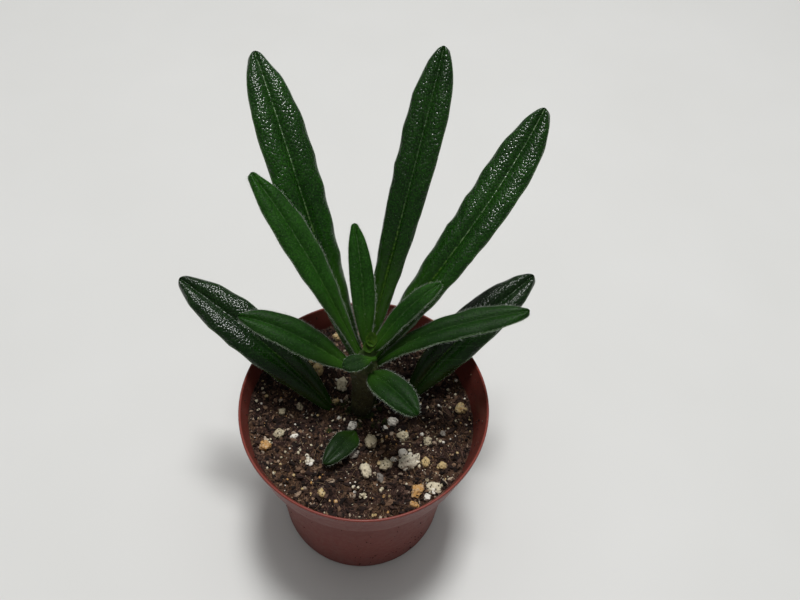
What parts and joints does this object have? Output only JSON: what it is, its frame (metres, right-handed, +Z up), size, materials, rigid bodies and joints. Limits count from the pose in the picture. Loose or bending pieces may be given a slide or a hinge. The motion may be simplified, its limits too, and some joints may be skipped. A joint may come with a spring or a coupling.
{
  "type": "potted primulina",
  "caption": "Young primulina with a rosette of strap leaves on a short stem, in peat soil in a small round plastic nursery pot.",
  "frame": {"origin": "centre of the underside of the pot, on the surface that it stands on", "axes": "+Z up along the pot's axis; -Y towards the front of the picture, where the shortest leaves point; +X to the right there"},
  "size_m": [0.0926, 0.0859, 0.1306],
  "materials": {
    "pot": "satin",
    "soil": "matte",
    "stem": "matte",
    "bud": "satin",
    "leaf_back_left": "gloss",
    "leaf_back": "gloss",
    "leaf_back_right": "gloss",
    "leaf_left_upper": "satin",
    "leaf_back_young": "matte",
    "leaf_right_young": "matte",
    "leaf_right": "satin",
    "leaf_left_front": "satin",
    "leaf_front_smallest": "matte",
    "leaf_front_right": "matte",
    "leaf_left_low": "gloss",
    "leaf_right_low": "gloss",
    "leaf_front_low": "satin"
  },
  "bodies": {
    "root": {"pot": "pot", "soil": "soil", "stem": "stem", "bud": "bud", "leaf_back_left": "leaf_back_left", "leaf_back": "leaf_back", "leaf_back_right": "leaf_back_right", "leaf_left_upper": "leaf_left_upper", "leaf_back_young": "leaf_back_young", "leaf_right_young": "leaf_right_young", "leaf_right": "leaf_right", "leaf_left_front": "leaf_left_front", "leaf_front_smallest": "leaf_front_smallest", "leaf_front_right": "leaf_front_right", "leaf_left_low": "leaf_left_low", "leaf_right_low": "leaf_right_low", "leaf_front_low": "leaf_front_low"}
  },
  "joints": []
}
